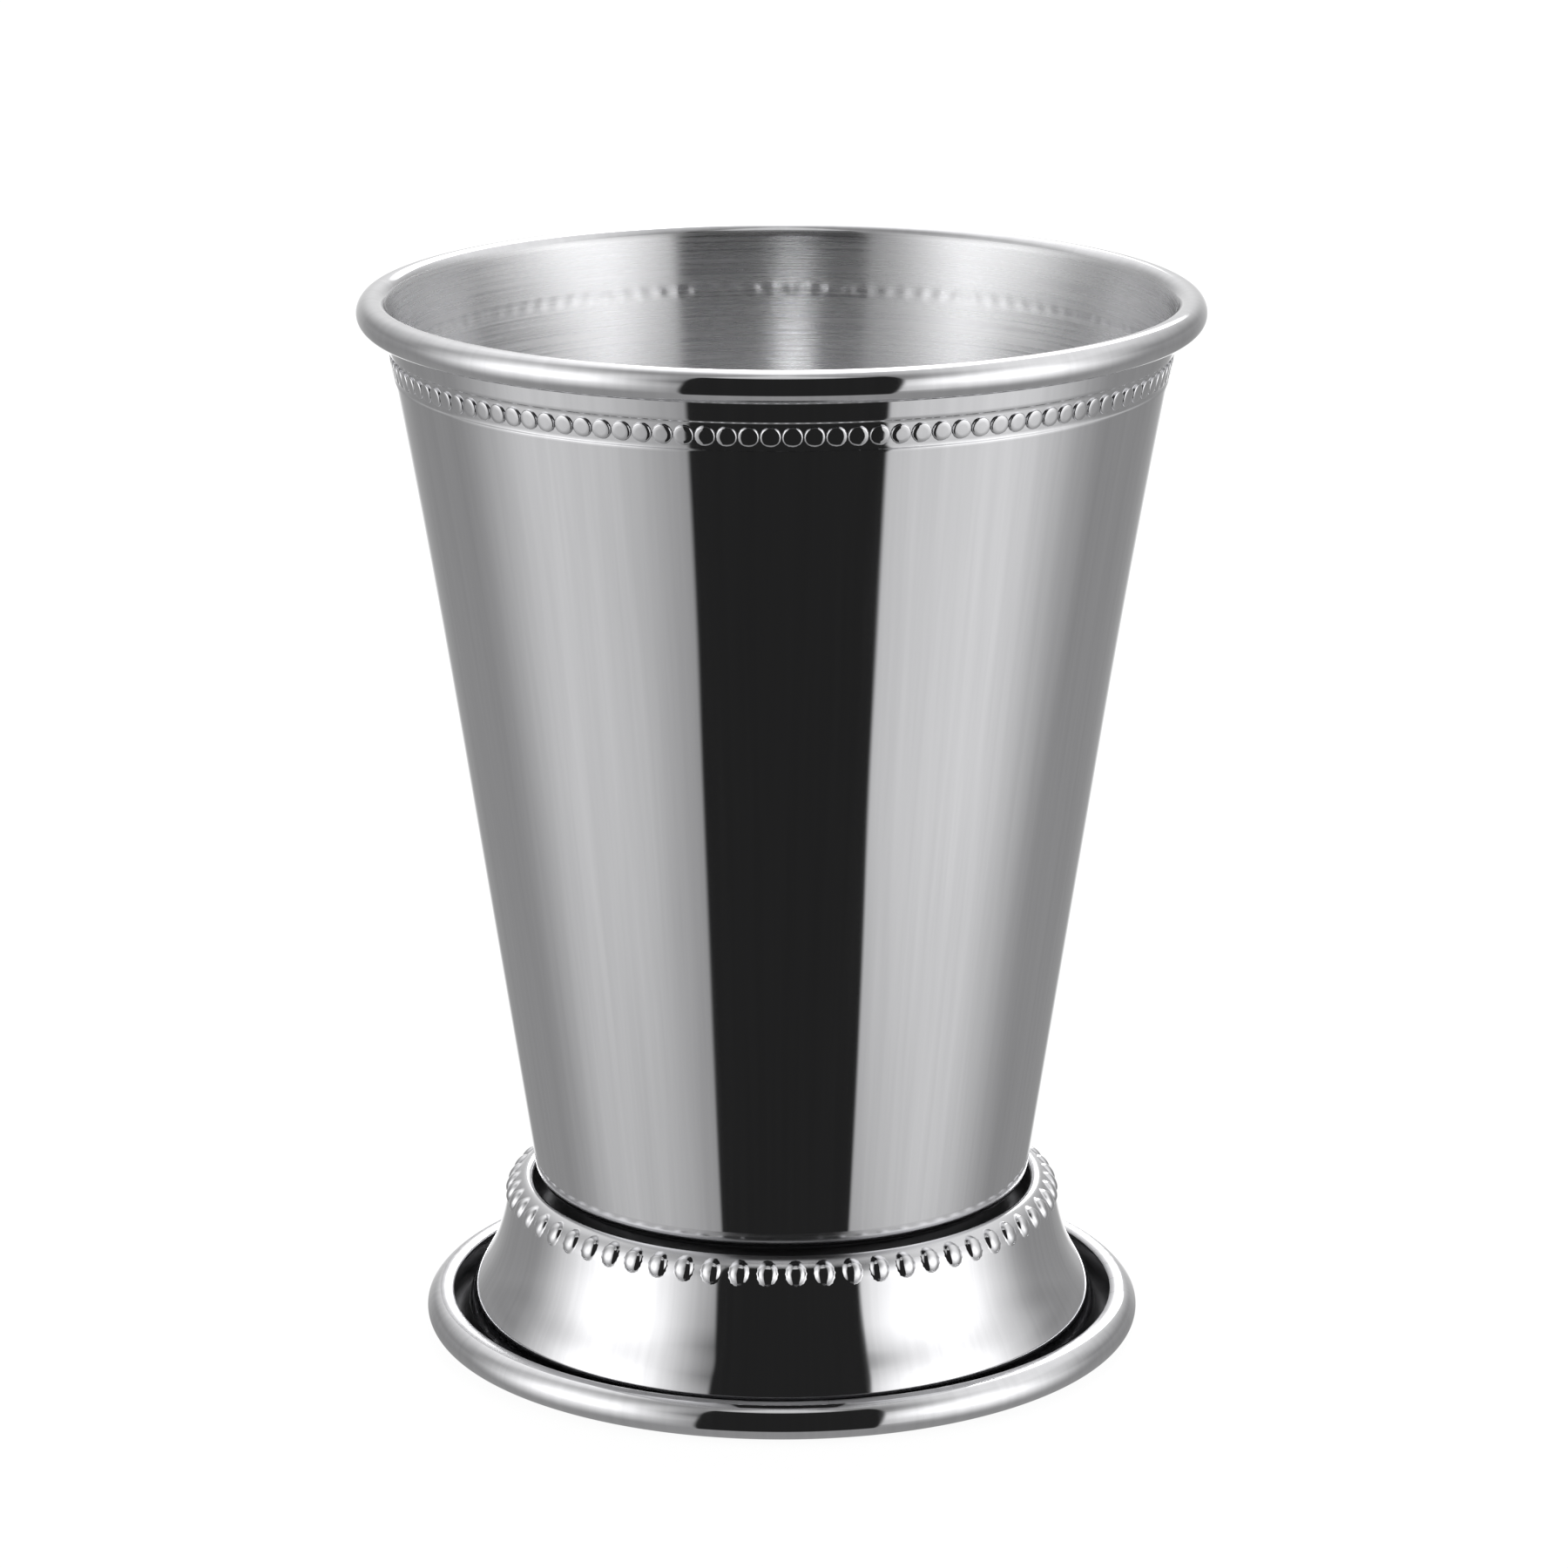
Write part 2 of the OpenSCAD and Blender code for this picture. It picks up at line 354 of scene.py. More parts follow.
def foot_section():
    """Outline of the foot's sheet, as (point, finish)."""
    groove_at = Vector((GROOVE_WALL_R - GROOVE_R, SHOULDER_H - GROOVE_DEPTH + GROOVE_R))
    groove_bottom = groove_at - Vector((0, GROOVE_R))
    seat_end = Vector((CORNER_AT.x - CORNER_R, SEAT_H))
    curl_at = Vector((FOOT_R - BASE_ROLL_R, BASE_ROLL_R))
    curl_r = BASE_ROLL_R - SHEET
    turn_at = Vector((curl_at.x - BASE_W, BASE_TURN_R + SHEET))
    skirt_start = SHOULDER_AT + SHOULDER_R * turned(COLLAR_LEAN)
    skirt_end = turn_at - BASE_TURN_R * turned(BASE_LEAN)
    level = Vector((1, 0))
    groove = straight(seat_end - Vector((SEAT_W, 0)), seat_end, SEAT_SHARES)
    groove += swept(seat_end, level, groove_bottom, level, FLANK_HANDLE_SHARES, FLANK_STEPS)
    groove += arc(groove_at, GROOVE_R, -90, 0, BEND_STEPS)
    fold = arc(FOLD_AT, FOLD_OUTER_R, 180, FOLD_TURN, BEND_STEPS)
    fold += arc(SHOULDER_AT, SHOULDER_R, FOLD_TURN, SHOULDER_POLISH_START, FOLD_STEPS)[1:]
    skirt = arc(SHOULDER_AT, SHOULDER_R, SHOULDER_POLISH_START, COLLAR_LEAN, SHOULDER_STEPS)[1:]
    skirt += swept(skirt_start, down(COLLAR_LEAN), skirt_end, down(BASE_LEAN),
                   SKIRT_HANDLE_SHARES, SKIRT_STEPS)
    turn = arc(turn_at, BASE_TURN_R, BASE_LEAN - 180, -90, BEND_STEPS)
    curl = arc(curl_at, curl_r, -90, CURL_POLISH_END, ROLL_STEPS)
    curl_top = arc(curl_at, curl_r, CURL_POLISH_END, BASE_ROLL_END, BEND_STEPS)[1:]

    # The groove has the dark gap finish, which is painted shade
    section = along(groove, GAP) + along(fold, SKIMMED)
    # The skirt's low edge, where it runs into the channel, has the dark gap finish as painted shade
    section += [(step[0], FACE if step[0].y > SKIRT_POLISH_LOW else GAP) for step in skirt]
    # The turn and the inside of the curl, the channel round the base, have the dark gap finish as
    # painted shade
    section += along(turn + curl + curl_top, GAP)
    # The top of the curl stays as the press leaves it, as the sheet's reverse does: a real satin
    # finish, whose darker grey there is also painted shade on the curl's top
    section += back_along(curl_top, REVERSE) + back_along(curl, FACE)
    return section + back_along(groove + fold + skirt + turn, REVERSE)


# Geometry Nodes trees

def new_tree(name, sizes):
    """An empty tree with a Geometry input, the named inputs, and a Geometry output."""
    tree = bpy.data.node_groups.new(name, "GeometryNodeTree")
    tree.interface.new_socket("Geometry", in_out="INPUT", socket_type="NodeSocketGeometry")
    for label, kind in sizes:
        tree.interface.new_socket(label, in_out="INPUT", socket_type="NodeSocket" + kind)
    tree.interface.new_socket("Geometry", in_out="OUTPUT", socket_type="NodeSocketGeometry")
    return tree


def turned_sheet_tree():
    """Turns a section about Z into a closed sheet, with a ring of dents in its reverse."""
    tree = new_tree("turned_sheet", [
        ("Segments", "Int"), ("Dents", "Int"), ("Dent height", "Float"), ("Dent radius", "Float"),
        ("Dent depth", "Float"), *((label, "Material") for label in FINISH_INPUTS)])
    given = add(tree, "NodeGroupInput").outputs

    # A grid has a row for each point of the section, and a column for each step of the turn.
    # The last row and column repeat the first ones.
    count = add(tree, "GeometryNodeAttributeDomainSize", {0: given["Geometry"]}).outputs[0]
    rows = add(tree, "FunctionNodeIntegerMath", {0: count, 1: 1}, operation="ADD").outputs[0]
    columns = add(tree, "FunctionNodeIntegerMath", {0: given["Segments"], 1: 1},
                  operation="ADD").outputs[0]
    grid = add(tree, "GeometryNodeMeshGrid", {"Vertices X": rows, "Vertices Y": columns})
    index = add(tree, "GeometryNodeInputIndex").outputs[0]
    row = add(tree, "FunctionNodeIntegerMath", {0: index, 1: columns},
              operation="DIVIDE_FLOOR").outputs[0]
    column = add(tree, "FunctionNodeIntegerMath", {0: index, 1: columns},
                 operation="MODULO").outputs[0]
    wrapped = add(tree, "FunctionNodeIntegerMath", {0: row, 1: count},
                  operation="MODULO").outputs[0]
    place = add(tree, "GeometryNodeInputPosition").outputs[0]
    finish = add(tree, "GeometryNodeInputNamedAttribute", {"Name": "finish"},
                 data_type="FLOAT").outputs[0]
    point = add(tree, "GeometryNodeSampleIndex",
                {0: given["Geometry"], 1: place, 2: wrapped}, data_type="FLOAT_VECTOR").outputs[0]
    point_finish = add(tree, "GeometryNodeSampleIndex",
                       {0: given["Geometry"], 1: finish, 2: wrapped}, data_type="FLOAT").outputs[0]
    parts = add(tree, "ShaderNodeSeparateXYZ", {0: point}).outputs
    share = add(tree, "ShaderNodeMath", {0: column, 1: given["Segments"]},
                operation="DIVIDE").outputs[0]
    angle = add(tree, "ShaderNodeMath", {0: share, 1: math.tau}, operation="MULTIPLY").outputs[0]

    # The reverse moves outwards by how near the middle of a dent is
    turns = add(tree, "ShaderNodeMath", {0: share, 1: given["Dents"]},
                operation="MULTIPLY").outputs[0]
    half = add(tree, "ShaderNodeMath", {0: turns, 1: 0.5}, operation="PINGPONG").outputs[0]
    around = add(tree, "ShaderNodeMath", {0: parts[0], 1: math.tau}, operation="MULTIPLY").outputs[0]
    pitch = add(tree, "ShaderNodeMath", {0: around, 1: given["Dents"]},
                operation="DIVIDE").outputs[0]
    across = add(tree, "ShaderNodeMath", {0: half, 1: pitch}, operation="MULTIPLY").outputs[0]
    above = add(tree, "ShaderNodeMath", {0: parts[2], 1: given["Dent height"]},
                operation="SUBTRACT").outputs[0]
    apart = add(tree, "ShaderNodeCombineXYZ", {0: across, 1: above}).outputs[0]
    distance = add(tree, "ShaderNodeVectorMath", {0: apart}, operation="LENGTH").outputs["Value"]
    fall = add(tree, "ShaderNodeMapRange",
               {"Value": distance, "From Min": 0.0, "From Max": given["Dent radius"],
                "To Min": given["Dent depth"], "To Max": 0.0},
               interpolation_type="SMOOTHSTEP").outputs[0]
    on_reverse = add(tree, "FunctionNodeCompare", {0: point_finish, 1: REVERSE},
                     data_type="FLOAT", operation="EQUAL").outputs[0]
    dent = add(tree, "ShaderNodeMath", {0: fall, 1: on_reverse}, operation="MULTIPLY").outputs[0]
    radius = add(tree, "ShaderNodeMath", {0: parts[0], 1: dent}, operation="ADD").outputs[0]

    along_x = add(tree, "ShaderNodeMath", {0: angle}, operation="COSINE").outputs[0]
    along_y = add(tree, "ShaderNodeMath", {0: angle}, operation="SINE").outputs[0]
    x = add(tree, "ShaderNodeMath", {0: radius, 1: along_x}, operation="MULTIPLY").outputs[0]
    y = add(tree, "ShaderNodeMath", {0: radius, 1: along_y}, operation="MULTIPLY").outputs[0]
    turned_to = add(tree, "ShaderNodeCombineXYZ", {0: x, 1: y, 2: parts[2]}).outputs[0]
    moved = add(tree, "GeometryNodeSetPosition",
                {"Geometry": grid.outputs["Mesh"], "Position": turned_to}).outputs[0]

    # Each face takes the finish of the section's point that its strip starts at
    strip = add(tree, "FunctionNodeIntegerMath", {0: index, 1: given["Segments"]},
                operation="DIVIDE_FLOOR").outputs[0]
    strip_finish = add(tree, "GeometryNodeSampleIndex",
                       {0: given["Geometry"], 1: finish, 2: strip}, data_type="FLOAT").outputs[0]
    marked = add(tree, "GeometryNodeStoreNamedAttribute",
                 {"Geometry": moved, "Name": "face_finish", "Value": strip_finish},
                 data_type="FLOAT", domain="FACE").outputs[0]
    merged = add(tree, "GeometryNodeMergeByDistance",
                 {"Geometry": marked, "Distance": MERGE_REACH * MM}).outputs[0]
    smooth = add(tree, "GeometryNodeSetShadeSmooth", {"Geometry": merged}).outputs[0]
    done = add(tree, "GeometryNodeRealizeInstances", {"Geometry": smooth}).outputs[0]
    face_finish = add(tree, "GeometryNodeInputNamedAttribute", {"Name": "face_finish"},
                      data_type="FLOAT").outputs[0]
    for label, value in FINISH_INPUTS.items():
        chosen = add(tree, "FunctionNodeCompare", {0: face_finish, 1: value},
                     data_type="FLOAT", operation="EQUAL").outputs[0]
        done = add(tree, "GeometryNodeSetMaterial",
                   {"Geometry": done, "Selection": chosen, "Material": given[label]}).outputs[0]
    add(tree, "NodeGroupOutput", {"Geometry": done})
    return tree


def bead_ring_tree():
    """Sets copies of one bead round Z, leaning by an angle from the upright."""
    tree = new_tree("bead_ring", [
        ("Count", "Int"), ("Radius", "Float"), ("Height", "Float"), ("Lean", "Float"),
        ("Finish", "Material")])
    given = add(tree, "NodeGroupInput").outputs
    ring = add(tree, "GeometryNodeMeshCircle",
               {"Vertices": given["Count"], "Radius": given["Radius"]}).outputs[0]
    lift = add(tree, "ShaderNodeCombineXYZ", {2: given["Height"]}).outputs[0]
    raised = add(tree, "GeometryNodeTransform", {"Geometry": ring, "Translation": lift}).outputs[0]
    index = add(tree, "GeometryNodeInputIndex").outputs[0]
    share = add(tree, "ShaderNodeMath", {0: index, 1: given["Count"]},
                operation="DIVIDE").outputs[0]
    angle = add(tree, "ShaderNodeMath", {0: share, 1: math.tau}, operation="MULTIPLY").outputs[0]
    euler = add(tree, "ShaderNodeCombineXYZ", {1: given["Lean"], 2: angle}).outputs[0]
    facing = add(tree, "FunctionNodeEulerToRotation", {0: euler}).outputs[0]
    placed = add(tree, "GeometryNodeInstanceOnPoints",
                 {"Points": raised, "Instance": given["Geometry"], "Rotation": facing}).outputs[0]
    real = add(tree, "GeometryNodeRealizeInstances", {"Geometry": placed}).outputs[0]
    finished = add(tree, "GeometryNodeSetMaterial",
                   {"Geometry": real, "Material": given["Finish"]}).outputs[0]
    add(tree, "NodeGroupOutput", {"Geometry": finished})
    return tree


def made_by(tree, name, seed_mesh, sizes):
    """Runs a tree on a mesh and returns its result as an object with a plain mesh."""
    holder = bpy.data.objects.new(name, seed_mesh)
    bpy.context.scene.collection.objects.link(holder)
    modifier = holder.modifiers.new(tree.name, "NODES")
    modifier.node_group = tree
    sockets = {item.name: item.identifier for item in tree.interface.items_tree
               if item.in_out == "INPUT"}
    for label, value in sizes.items():
        modifier[sockets[label]] = value
    depsgraph = bpy.context.evaluated_depsgraph_get()
    result = bpy.data.meshes.new_from_object(holder.evaluated_get(depsgraph))
    holder.modifiers.clear()
    holder.data = result
    result.name = name
    # Set Material leaves an empty slot, which no face uses, before its own
    if result.materials[0] is None:
        result.materials.pop(index=0)
    return holder


def section_mesh(name, section):
    """A section's outline in the XZ plane, in metres, with its finishes."""
    mesh = bpy.data.meshes.new(name)
    count = len(section)
    mesh.from_pydata([(p.x * MM, 0, p.y * MM) for p, _ in section],
                     [(i, (i + 1) % count) for i in range(count)], [])
    mark = mesh.attributes.new("finish", "FLOAT", "POINT")
    mark.data.foreach_set("value", [finish for _, finish in section])
    return mesh


def sag(radius, offset):
    """How far a round surface has fallen away at an offset from its crown."""
    return radius - math.sqrt(radius ** 2 - offset ** 2)


def button_mesh(name, half_length, half_width, profile, seat_radii):
    """A closed oval button, bent to its seat, which is round both along it and across it.

    The profile is a list of (share of its radius, height), top first.
    """
    mesh = bpy.data.meshes.new(name)
    work = bmesh.new()
    rings = []
    for share, height in profile:
        ring = []
        for i in range(BEAD_SIDES):
            along_seat = half_length * share * math.cos(math.tau * i / BEAD_SIDES)
            across_seat = half_width * share * math.sin(math.tau * i / BEAD_SIDES)
            rise = height - sag(seat_radii[0], along_seat) - sag(seat_radii[1], across_seat)
            ring.append(work.verts.new((along_seat * MM, across_seat * MM, rise * MM)))
        rings.append(ring)
    for above, below in zip(rings, rings[1:]):
        for i in range(BEAD_SIDES):
            j = (i + 1) % BEAD_SIDES
            work.faces.new((above[i], below[i], below[j], above[j]))
    work.faces.new(rings[0])
    work.faces.new(list(reversed(rings[-1])))
    for face in work.faces:
        face.smooth = True
    work.to_mesh(mesh)
    work.free()
    return mesh


# Finishes

def new_material(name):
    """A metal material with its nodes cleared, its tree, and its Principled shader."""
    material = bpy.data.materials.new(name)
    material.use_nodes = True
    tree = material.node_tree
    tree.nodes.clear()
    shader = add(tree, "ShaderNodeBsdfPrincipled")
    shader.inputs["Metallic"].default_value = 1.0
    add(tree, "ShaderNodeOutputMaterial", {"Surface": shader.outputs[0]})
    return material, tree, shader


def streaks(tree, upright_mm, around_mm, detail):
    """Noise whose grains are this long up the cup and this long round it."""
    place = add(tree, "ShaderNodeTexCoord").outputs["Object"]
    parts = add(tree, "ShaderNodeSeparateXYZ", {0: place}).outputs
    angle = add(tree, "ShaderNodeMath", {0: parts[1], 1: parts[0]}, operation="ARCTAN2").outputs[0]
    cosine = add(tree, "ShaderNodeMath", {0: angle}, operation="COSINE").outputs[0]
    sine = add(tree, "ShaderNodeMath", {0: angle}, operation="SINE").outputs[0]
    unrolled = add(tree, "ShaderNodeCombineXYZ", {0: cosine, 1: sine, 2: parts[2]}).outputs[0]
    around = STREAK_R / around_mm
    grains = add(tree, "ShaderNodeVectorMath",
                 {0: unrolled, 1: (around, around, 1 / (upright_mm * MM))}, operation="MULTIPLY")
    return add(tree, "ShaderNodeTexNoise",
               {"Vector": grains.outputs[0], "Scale": 1.0, "Detail": detail}).outputs["Fac"]


def between(tree, noise, low, high):
    """A noise stretched to run between two values."""
    return add(tree, "ShaderNodeMapRange",
               {"Value": noise, "From Min": NOISE_SPAN[0], "From Max": NOISE_SPAN[1],
                "To Min": low, "To Max": high}).outputs[0]


def polished_steel():
    """Mirror-polished stainless steel: sharp reflections with a thin haze.

    The wheel runs up and down the cup, so its hairlines are upright. They are finer than the
    render shows, and are drawn about a millimetre apart. The drawn sheet isn't quite even, so
    the edges of what it shows wander a little.
    """
    material, tree, shader = new_material("mirror_polished_stainless_steel")
    hairlines = streaks(tree, upright_mm=40, around_mm=1, detail=3)
    shade = add(tree, "ShaderNodeMix", {0: between(tree, hairlines, 0, 1), 6: linear("#D8D8DA"),
                                        7: linear("#E0E0E2")}, data_type="RGBA").outputs[2]
    unevenness = streaks(tree, upright_mm=45, around_mm=20, detail=1)
    bump = add(tree, "ShaderNodeBump", {"Height": unevenness, "Strength": 1.0,
                                        "Distance": 0.1 * MM}).outputs[0]
    tree.links.new(shade, shader.inputs["Base Color"])
    tree.links.new(between(tree, hairlines, 0.035, 0.07), shader.inputs["Roughness"])
    tree.links.new(bump, shader.inputs["Normal"])
    return material


def brushed_steel():
    """Stainless steel brushed on the lathe: its fine rings blur what it shows up and down only.

    The rings are far finer than the render shows, so the shader spreads the light for them, and
    the coarser ones, about 0.3 mm apart, are drawn.
    """
    material, tree, shader = new_material("lathe_brushed_stainless_steel")
    shader.inputs["Anisotropic"].default_value = 1.0
    shader.inputs["Anisotropic Rotation"].default_value = 0.25
    rings = streaks(tree, upright_mm=0.28, around_mm=30, detail=3)
    shade = add(tree, "ShaderNodeMix", {0: between(tree, rings, 0, 1), 6: linear("#D7D7D9"),
                                        7: linear("#EEEEEF")}, data_type="RGBA").outputs[2]
    around = add(tree, "ShaderNodeTangent", direction_type="RADIAL", axis="Z").outputs[0]
    bump = add(tree, "ShaderNodeBump", {"Height": rings, "Strength": 0.18,
                                        "Distance": 0.01 * MM}).outputs[0]
    tree.links.new(shade, shader.inputs["Base Color"])
    tree.links.new(between(tree, rings, 0.22, 0.32), shader.inputs["Roughness"])
    tree.links.new(around, shader.inputs["Tangent"])
    tree.links.new(bump, shader.inputs["Normal"])
    return material


def drawn_steel():
    """Stainless steel as the press leaves it: a grey satin, with draw marks running down it."""
    material, tree, shader = new_material("press_drawn_stainless_steel")
    shader.inputs["Base Color"].default_value = linear("#B4B4B6")
    marks = streaks(tree, upright_mm=8, around_mm=0.8, detail=5)
    tree.links.new(between(tree, marks, 0.26, 0.42), shader.inputs["Roughness"])
    return material


def buffed_steel():
    """Stainless steel that the wheel only skims: a soft mirror, with fine marks round it."""
    material, tree, shader = new_material("buffed_stainless_steel")
    shader.inputs["Base Color"].default_value = linear("#D6D6D8")
    marks = streaks(tree, upright_mm=0.3, around_mm=12, detail=3)
    tree.links.new(between(tree, marks, 0.14, 0.24), shader.inputs["Roughness"])
    return material


def unpolished_steel_painted_shade():
    """Stainless steel that the wheel doesn't reach: dull, and dark grey as painted shade for the
    gaps it lies in, mottled by a noise.
    """
    material, tree, shader = new_material("unpolished_stainless_steel_painted_shade")
    mottle = streaks(tree, upright_mm=0.6, around_mm=3, detail=4)
    # Dark greys that are painted shade in the gaps, mottled by the noise
    painted_shade_tone = add(tree, "ShaderNodeMix", {0: mottle, 6: linear("#4E4E50"), 7: linear("#707072")},
                data_type="RGBA").outputs[2]
    tree.links.new(painted_shade_tone, shader.inputs["Base Color"])
    tree.links.new(between(tree, mottle, 0.5, 0.7), shader.inputs["Roughness"])
    return material


def welded_steel():
    """Spot-welded stainless steel: grey, dull, and straw-tinted by the heat in places."""
    material, tree, shader = new_material("spot_welded_stainless_steel")
    tint = streaks(tree, upright_mm=1.5, around_mm=1.5, detail=3)
    colour = add(tree, "ShaderNodeMix", {0: tint, 6: linear("#8C8C90"), 7: linear("#A69A80")},
                 data_type="RGBA").outputs[2]
    tree.links.new(colour, shader.inputs["Base Color"])
    tree.links.new(between(tree, tint, 0.4, 0.55), shader.inputs["Roughness"])
    return material


# Pieces

def turned_sheet(name, section, dents, reverse):
    """A sheet turned about Z. The dents are (count, height, radius, depth)."""
    count, height, radius, depth = dents
    return made_by(TURNED_SHEET, name, section_mesh(name + "_section", section),
                   {"Segments": COLUMNS_PER_BEAD * count, "Dents": count,
                    "Dent height": height * MM, "Dent radius": radius * MM,
                    "Dent depth": depth * MM, "Face finish": POLISHED,
                    "Reverse finish": reverse, "Gap finish": UNPOLISHED_PAINTED_SHADE,
                    "Skimmed finish": BUFFED})


def flat_beads():
    """Ring of flat beads with rounded edges, in the band under the rim."""
    at = outer(wall_point(BAND_H))
    profile = [(share, RIM_BEAD_PROUD - drop) for share, drop in RIM_BEAD_EDGE]
    profile += [(1.0, -BAND_DEPTH - RIM_BEAD_ROOT)]
    bead = button_mesh("flat_bead", RIM_BEAD_R, RIM_BEAD_R, profile, (CUP_H, at.x))
    return made_by(BEAD_RING, "rim_beads", bead,
                   {"Count": RIM_BEADS, "Radius": at.x * MM, "Height": at.y * MM,
                    "Lean": math.pi / 2 + math.atan(wall_slope(BAND_H)), "Finish": POLISHED})


def oval_beads():
    """Ring of domed oval beads, on the shoulder of the foot."""
    at = SHOULDER_AT + SHOULDER_R * turned(FOOT_BEAD_TILT)
    profile = [(share, FOOT_BEAD_PROUD * height) for share, height in FOOT_BEAD_DOME]
    seat_radii = (SHOULDER_R, at.x / math.cos(math.radians(FOOT_BEAD_TILT)))
    bead = button_mesh("oval_bead", FOOT_BEAD_L / 2, FOOT_BEAD_W / 2, profile, seat_radii)
    return made_by(BEAD_RING, "shoulder_beads", bead,
                   {"Count": FOOT_BEADS, "Radius": at.x * MM, "Height": at.y * MM,
                    "Lean": math.radians(90 - FOOT_BEAD_TILT), "Finish": POLISHED})


POLISHED = polished_steel()
BRUSHED = brushed_steel()
DRAWN = drawn_steel()
BUFFED = buffed_steel()
UNPOLISHED_PAINTED_SHADE = unpolished_steel_painted_shade()
WELDED = welded_steel()
TURNED_SHEET = turned_sheet_tree()
BEAD_RING = bead_ring_tree()

foot_dent_at = SHOULDER_AT + (SHOULDER_R - SHEET) * turned(FOOT_BEAD_TILT)
cup_shell = turned_sheet("cup_shell", cup_section(),
                         (RIM_BEADS, BAND_H, DENT_R, DENT_DEPTH), BRUSHED)
foot_shell = turned_sheet("foot_shell", foot_section(),
                          (FOOT_BEADS, foot_dent_at.y, FOOT_DENT_R, FOOT_DENT_DEPTH), DRAWN)
rim_beads = flat_beads()
shoulder_beads = oval_beads()
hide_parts("cup_body")
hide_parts("foot")
for piece, slot in ((cup_shell, "cup_steel"), (rim_beads, "cup_steel"),
                    (foot_shell, "foot_steel"), (shoulder_beads, "foot_steel")):
    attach(piece, "root")
for weld_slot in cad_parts["spot_welds"].material_slots:
    weld_slot.material = WELDED


# Studio, as the polished steel shows it. Azimuths are from the camera's side of the cup, with
# the positive side to the right, and elevations are from the horizon.

# Brightness of the room by elevation: the floor, the far walls and the ceiling
ROOM = [(-90, 0.33), (-40, 0.34), (-15, 0.31), (0, 0.35), (15, 0.28), (30, 0.08), (50, 0.17),
        (70, 0.2), (90, 0.45)]
# Soft light of each lamp and card: its azimuth with half its width and its soft edge, its
# elevation with half its height and its soft edge, and how bright it is
LAMPS = [
    (-69, 8, 43, 15, 10, 60, 0.96),  # large lamp on the left
    (68, 0, 52, 3, 0, 60, 1.18),  # large lamp on the right
    (180, 0, 38, 34, 40, 18, 0.5),  # pale wall behind
    (180, 8, 11, -22, 12, 12, 0.7),  # pale table behind
    (34, 0, 32, 0, 31, 8, 0.23),  # card beside the black one
    (160, 50, 80, 48, 5, 38, 0.86),  # long lamp above and behind
    (58, 8, 28, 20, 4, 30, 0.43),  # bright middle of the right lamp
    (-66, 5, 28, 18, 4, 30, 0.43),  # bright middle of the left lamp
    (172, 9, 5, 40, 14, 10, 6.0),  # small strong lamp behind
    (0, 26, 24, 79, 9, 8, 0.45),  # lamp over the camera
]
# The black card in front of the cup, round the lens, placed as a lamp is. It leans to the right
# by a share of its height, and widens by a share for each square degree off the horizon.
BLACK_CARD = (2.6, 28.1, 1.7, 7, 56, 6, 1.0)
BLACK_LEAN = 0.0275
BLACK_WIDENING = 0.000075
BLACK_LEVEL = 0.02


def lamp_share(tree, azimuth, elevation, lamp):
    """How bright a lamp is in a direction."""
    middle, half_width, side_edge, rise, half_height, level_edge, brightness = lamp
    aside = add(tree, "ShaderNodeMath", {0: azimuth, 1: middle}, operation="SUBTRACT").outputs[0]
    aside = add(tree, "ShaderNodeMath", {0: aside, 1: 180.0}, operation="PINGPONG").outputs[0]
    above = add(tree, "ShaderNodeMath", {0: elevation, 1: rise}, operation="SUBTRACT").outputs[0]
    above = add(tree, "ShaderNodeMath", {0: above}, operation="ABSOLUTE").outputs[0]
    across = add(tree, "ShaderNodeMapRange",
                 {"Value": aside, "From Min": half_width, "From Max": half_width + side_edge,
                  "To Min": brightness, "To Max": 0.0}, interpolation_type="SMOOTHSTEP").outputs[0]
    up = add(tree, "ShaderNodeMapRange",
             {"Value": above, "From Min": half_height, "From Max": half_height + level_edge,
              "To Min": 1.0, "To Max": 0.0}, interpolation_type="SMOOTHSTEP").outputs[0]
    return add(tree, "ShaderNodeMath", {0: across, 1: up}, operation="MULTIPLY").outputs[0]


